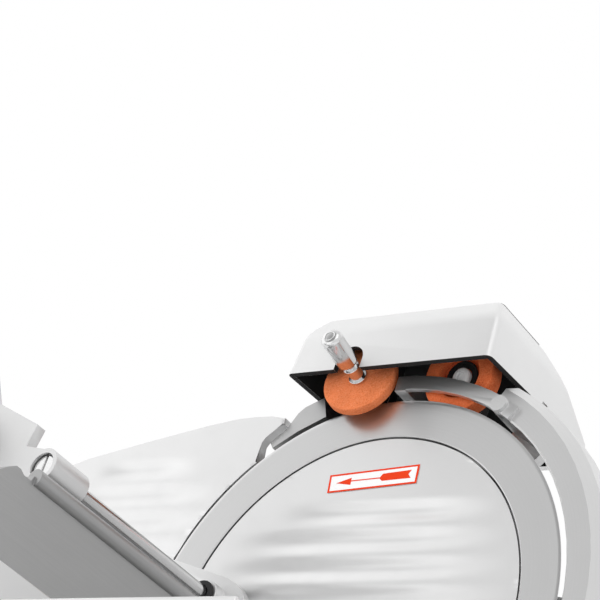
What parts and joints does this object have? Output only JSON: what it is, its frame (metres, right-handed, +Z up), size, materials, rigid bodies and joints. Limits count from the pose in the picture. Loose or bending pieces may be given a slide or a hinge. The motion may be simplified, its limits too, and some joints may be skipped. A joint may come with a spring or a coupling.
{
  "type": "electric meat slicer",
  "caption": "Gravity-feed slicer: leaning round blade with its sharpener, gauge plate, sliding carriage with pusher, on a cast base with rubber feet.",
  "frame": {"origin": "centre of the bounding box, on the table", "axes": "+Z up, +X to the operator's right (carriage side), +Y away from the operator; the blade leans 27.1 degrees"},
  "size_m": [0.4002, 0.4492, 0.3846],
  "materials": {
    "cast": "polished anodised casting",
    "plate": "bright plated",
    "steel": "ground steel",
    "anodised": "satin anodised sheet",
    "stone": "open abrasive grain",
    "black": "moulded, fine grain",
    "rubber": "moulded",
    "green": "gloss",
    "red": "gloss",
    "bronze": "turned sintered bronze",
    "grey": "moulded"
  },
  "bodies": {
    "base": {"base_casting": "cast", "base_bottom_plate": "steel", "rubber_foot_front_left": "rubber", "rubber_foot_front_right": "rubber", "rubber_foot_rear_left": "rubber", "rubber_foot_rear_right": "rubber", "head_casting": "cast", "blade_guard_ring": "cast", "blade_cover": "cast", "spindle_bearing_front": "steel", "spindle_bearing_rear": "steel", "drive_belt": "rubber", "belt_cover": "cast", "motor_body": "grey", "motor_bracket": "steel", "motor_cover": "cast", "slice_deflector": "plate", "slide_rod": "plate", "guide_rail": "steel", "switch_panel": "black", "switch_block": "grey", "run_capacitor": "grey", "cord_gland": "black"},
    "blade_set": {"blade": "plate", "blade_spindle": "steel", "blade_pulley": "cast", "spindle_nut": "steel"},
    "motor_set": {"motor_rotor": "steel", "motor_pulley": "steel"},
    "tie_rod": {"cover_tie_rod": "black"},
    "gauge": {"gauge_plate": "cast", "gauge_arm": "cast", "gauge_guide_shaft": "steel"},
    "dial": {"thickness_dial": "black", "dial_shaft": "steel"},
    "carriage": {"carriage_foot": "cast", "slide_bush_front": "bronze", "slide_bush_rear": "bronze", "carriage_tray": "cast", "carriage_wall": "anodised", "thumb_guard": "cast", "pusher_rod": "plate", "rod_seal": "rubber", "rod_end_screw": "plate", "carriage_handle": "black"},
    "tray_knob": {"tray_clamp_knob": "black"},
    "pusher_slider": {"pusher_bush": "grey"},
    "pusher": {"pusher_arm": "cast", "pusher_teeth_plate": "plate", "pusher_knob": "black"},
    "sharpener": {"sharpener_housing": "cast", "sharpener_post": "plate", "grinding_stone_screw": "plate", "push_pin_spring": "steel"},
    "sharpener_knob": {"sharpener_clamp_knob": "black"},
    "truing_pin": {"push_pin": "plate"},
    "truing_wheel": {"truing_stone": "stone"},
    "grinding_wheel": {"grinding_stone": "stone"},
    "start_button": {"on_button": "green"},
    "stop_button": {"off_button": "red"}
  },
  "joints": [
    {"name": "blade_spin", "type": "hinge", "parent": "base", "child": "blade_set", "pos_m": [-0.01507, 0.03735, 0.215], "axis": [0.8902, 0, 0.4555], "continuous": true},
    {"name": "motor_spin", "type": "hinge", "parent": "base", "child": "motor_set", "pos_m": [-0.01143, 0.13135, 0.20788], "axis": [0.8902, 0, 0.4555], "continuous": true},
    {"name": "tie_rod_turn", "type": "hinge", "parent": "base", "child": "tie_rod", "pos_m": [-0.01507, 0.03735, 0.215], "axis": [0.8902, 0, 0.4555], "continuous": true},
    {"name": "gauge_slide", "type": "slide", "parent": "base", "child": "gauge", "axis": [0.8902, 0, 0.4555], "range_m": [-0.015, 0]},
    {"name": "dial_turn", "type": "hinge", "parent": "base", "child": "dial", "pos_m": [-0.06312, -0.18765, 0.04326], "axis": [0, 1, 0], "range_deg": [0, 270]},
    {"name": "carriage_slide", "type": "slide", "parent": "base", "child": "carriage", "axis": [0, 1, 0], "range_m": [-0.15, 0.1]},
    {"name": "tray_knob_turn", "type": "hinge", "parent": "carriage", "child": "tray_knob", "pos_m": [0.11793, 0.03735, 0.14826], "axis": [-0.4555, 0, 0.8902], "continuous": true},
    {"name": "pusher_slide", "type": "slide", "parent": "carriage", "child": "pusher_slider", "axis": [0.8902, 0, 0.4555], "range_m": [-0.098, 0]},
    {"name": "pusher_swing", "type": "hinge", "parent": "pusher_slider", "child": "pusher", "pos_m": [0.10606, -0.03565, 0.27901], "axis": [0.8902, 0, 0.4555], "range_deg": [-170, 0]},
    {"name": "sharpener_lift", "type": "slide", "parent": "base", "child": "sharpener", "axis": [-0.4555, 0, 0.8902], "range_m": [0, 0.03]},
    {"name": "sharpener_knob_turn", "type": "hinge", "parent": "base", "child": "sharpener_knob", "pos_m": [-0.12129, 0.03735, 0.28646], "axis": [0.8902, 0, 0.4555], "continuous": true},
    {"name": "push_pin_press", "type": "slide", "parent": "sharpener", "child": "truing_pin", "axis": [-0.848, -0.1045, -0.5196], "range_m": [0, 0.0025], "stiffness_N_per_m": 400, "springref_m": -0.0015, "deforming": ["push_pin_spring"]},
    {"name": "truing_stone_spin", "type": "hinge", "parent": "truing_pin", "child": "truing_wheel", "pos_m": [-0.06808, 0.01285, 0.34009], "axis": [0.848, 0.1045, 0.5196], "continuous": true},
    {"name": "grinding_stone_spin", "type": "hinge", "parent": "sharpener", "child": "grinding_wheel", "pos_m": [-0.07691, 0.07035, 0.33804], "axis": [0.9449, 0, 0.3272], "continuous": true},
    {"name": "start_press", "type": "slide", "parent": "base", "child": "start_button", "axis": [0, 1, 0], "range_m": [0, 0.003], "stiffness_N_per_m": 500, "springref_m": -0.0008},
    {"name": "stop_press", "type": "slide", "parent": "base", "child": "stop_button", "axis": [0, 1, 0], "range_m": [0, 0.003], "stiffness_N_per_m": 500, "springref_m": -0.0008}
  ],
  "couplings": [
    {"joint": "motor_spin", "follows": "blade_spin", "ratio": 4.1818},
    {"joint": "dial_turn", "follows": "gauge_slide", "rad_per_m": -314.16}
  ]
}
